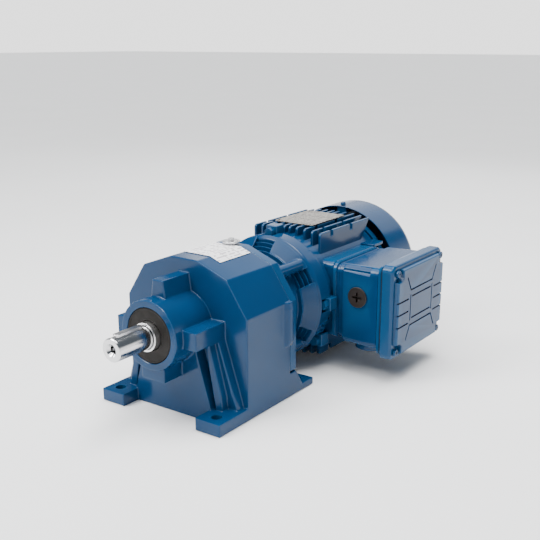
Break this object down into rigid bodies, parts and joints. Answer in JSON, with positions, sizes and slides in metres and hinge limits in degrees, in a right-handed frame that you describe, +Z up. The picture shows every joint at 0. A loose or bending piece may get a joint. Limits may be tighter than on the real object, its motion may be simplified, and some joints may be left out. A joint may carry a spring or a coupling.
{
  "type": "foot-mounted helical gearmotor",
  "caption": "Foot-mounted helical gearmotor: cast gear housing with keyed output shaft, finned electric motor, side terminal box and domed fan cover.",
  "frame": {"origin": "Middle of the foot pattern, on the flat underside that the gear unit stands on", "axes": "+Z up; the output shaft points to -Y; the motor and fan cover lie towards +Y; the terminal box is on +X"},
  "size_m": [0.3078, 0.598, 0.2133],
  "materials": {
    "housing_paint": "glossy steel-blue machinery paint over cast iron",
    "motor_paint": "glossy steel-blue machinery paint over die-cast aluminium",
    "hood_paint": "glossy steel-blue paint over pressed steel sheet",
    "bridge_iron": "bare machined casting",
    "shaft_steel": "ground bright steel with fine turning lines",
    "gear_steel": "case-hardened ground steel",
    "bearing_steel": "polished bearing steel",
    "spacer_steel": "bright satin steel",
    "lamination_steel": "stacked laminations, satin",
    "winding_copper": "varnished copper wire",
    "plug_steel": "zinc-plated steel",
    "bolt_blue": "steel bolt painted over with the frame",
    "lid_screw_steel": "steel screw with worn blue paint",
    "label_film": "white printed film with grey rule lines",
    "nameplate_metal": "satin aluminium plate with dark printed rules",
    "seal_rubber": "matt black nitrile rubber",
    "gasket_rubber": "matt black sheet gasket",
    "fan_plastic": "black moulded fan",
    "plug_plastic": "dark brown moulded blanking plug",
    "terminal_plastic": "red-brown thermoset terminal block"
  },
  "bodies": {
    "gear_unit_and_motor": {"gear_housing": "housing_paint", "housing_rear_cover": "housing_paint", "bearing_bridge": "bridge_iron", "oil_level_plug": "plug_steel", "oil_drain_plug": "plug_steel", "breather_plug": "plug_steel", "gear_rating_label": "label_film", "output_seal": "seal_rubber", "output_front_bearing_outer": "bearing_steel", "output_rear_bearing_outer": "bearing_steel", "countershaft_front_bearing_outer": "bearing_steel", "countershaft_rear_bearing_outer": "bearing_steel", "input_seal": "seal_rubber", "motor_adapter": "motor_paint", "motor_flange": "motor_paint", "flange_bolt_1": "bolt_blue", "flange_bolt_2": "bolt_blue", "flange_bolt_3": "bolt_blue", "flange_bolt_4": "bolt_blue", "flange_bolt_5": "bolt_blue", "flange_bolt_6": "bolt_blue", "motor_frame": "motor_paint", "motor_nameplate": "nameplate_metal", "stator_core": "lamination_steel", "stator_winding": "winding_copper", "motor_front_bearing_outer": "bearing_steel", "motor_rear_bearing_outer": "bearing_steel", "rear_endshield": "motor_paint", "fan_cover": "hood_paint", "fan_cover_screw_1": "lid_screw_steel", "fan_cover_screw_2": "lid_screw_steel", "fan_cover_screw_3": "lid_screw_steel", "terminal_box": "motor_paint", "terminal_box_gasket": "gasket_rubber", "terminal_box_lid": "motor_paint", "lid_screw_1": "lid_screw_steel", "lid_screw_2": "lid_screw_steel", "lid_screw_3": "lid_screw_steel", "lid_screw_4": "lid_screw_steel", "front_blanking_plug": "plug_plastic", "lower_blanking_plug": "plug_plastic", "terminal_block": "terminal_plastic"},
    "output_shaft_assembly": {"output_shaft": "shaft_steel", "output_key": "shaft_steel", "output_spacer_ring": "spacer_steel", "output_gear": "gear_steel", "output_front_bearing_inner": "bearing_steel", "output_rear_bearing_inner": "bearing_steel"},
    "countershaft_assembly": {"countershaft": "gear_steel", "countershaft_gear": "gear_steel", "countershaft_front_bearing_inner": "bearing_steel", "countershaft_rear_bearing_inner": "bearing_steel"},
    "rotor_assembly": {"motor_pinion": "gear_steel", "rotor_shaft": "shaft_steel", "rotor_core": "lamination_steel", "cooling_fan": "fan_plastic", "motor_front_bearing_inner": "bearing_steel", "motor_rear_bearing_inner": "bearing_steel"}
  },
  "joints": [
    {"name": "output_spin", "type": "hinge", "parent": "gear_unit_and_motor", "child": "output_shaft_assembly", "pos_m": [0, 0, 0.115], "axis": [0, 1, 0], "continuous": true},
    {"name": "countershaft_spin", "type": "hinge", "parent": "gear_unit_and_motor", "child": "countershaft_assembly", "pos_m": [0.03907, 0, 0.0615], "axis": [0, 1, 0], "continuous": true},
    {"name": "rotor_spin", "type": "hinge", "parent": "gear_unit_and_motor", "child": "rotor_assembly", "pos_m": [0, 0, 0.103], "axis": [0, 1, 0], "continuous": true}
  ],
  "couplings": [
    {"joint": "countershaft_spin", "follows": "output_spin", "ratio": -2.7857},
    {"joint": "rotor_spin", "follows": "output_spin", "ratio": 7.1384}
  ]
}
